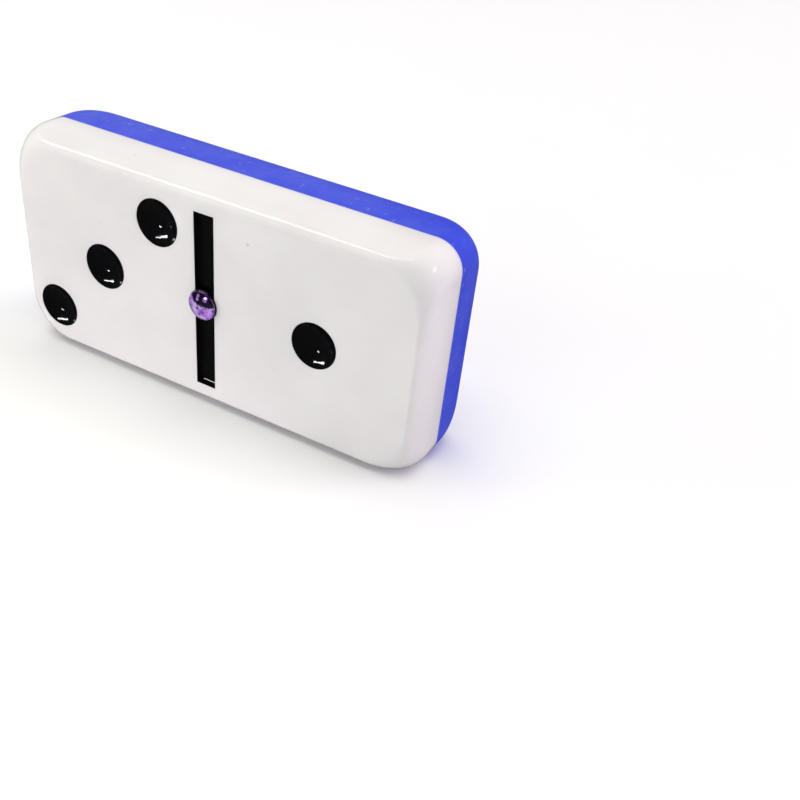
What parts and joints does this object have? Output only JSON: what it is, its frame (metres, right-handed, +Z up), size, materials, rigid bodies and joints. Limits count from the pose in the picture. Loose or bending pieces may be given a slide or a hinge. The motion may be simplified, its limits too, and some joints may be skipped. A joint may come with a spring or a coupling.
{
  "type": "domino tile",
  "caption": "Two-tone domino tile with rounded corners, lacquered round pips three over one, a lacquered divider groove and a domed spinner pin in its centre.",
  "frame": {"origin": "middle of the long edge that the tile stands on, half way between its back and its pip face", "axes": "+X along the tile's length, from the three to the one; +Y out of the coloured back, so the pip face looks along -Y; +Z up, across the tile's width"},
  "size_m": [0.0572, 0.0135, 0.0284],
  "materials": {
    "face_resin": "polished white resin, faintly translucent",
    "back_resin": "satin violet-blue resin with faint handling scuffs",
    "lacquer": "glossy black lacquer, brushed into the recesses by hand, slightly lumpy",
    "pin_metal": "polished metal with a violet tint"
  },
  "bodies": {
    "root": {"back_layer": "back_resin", "face_layer": "face_resin", "pip_three_outer": "lacquer", "pip_three_middle": "lacquer", "pip_three_inner": "lacquer", "pip_one": "lacquer", "divider_inlay": "lacquer", "spinner_pin": "pin_metal"}
  },
  "joints": []
}
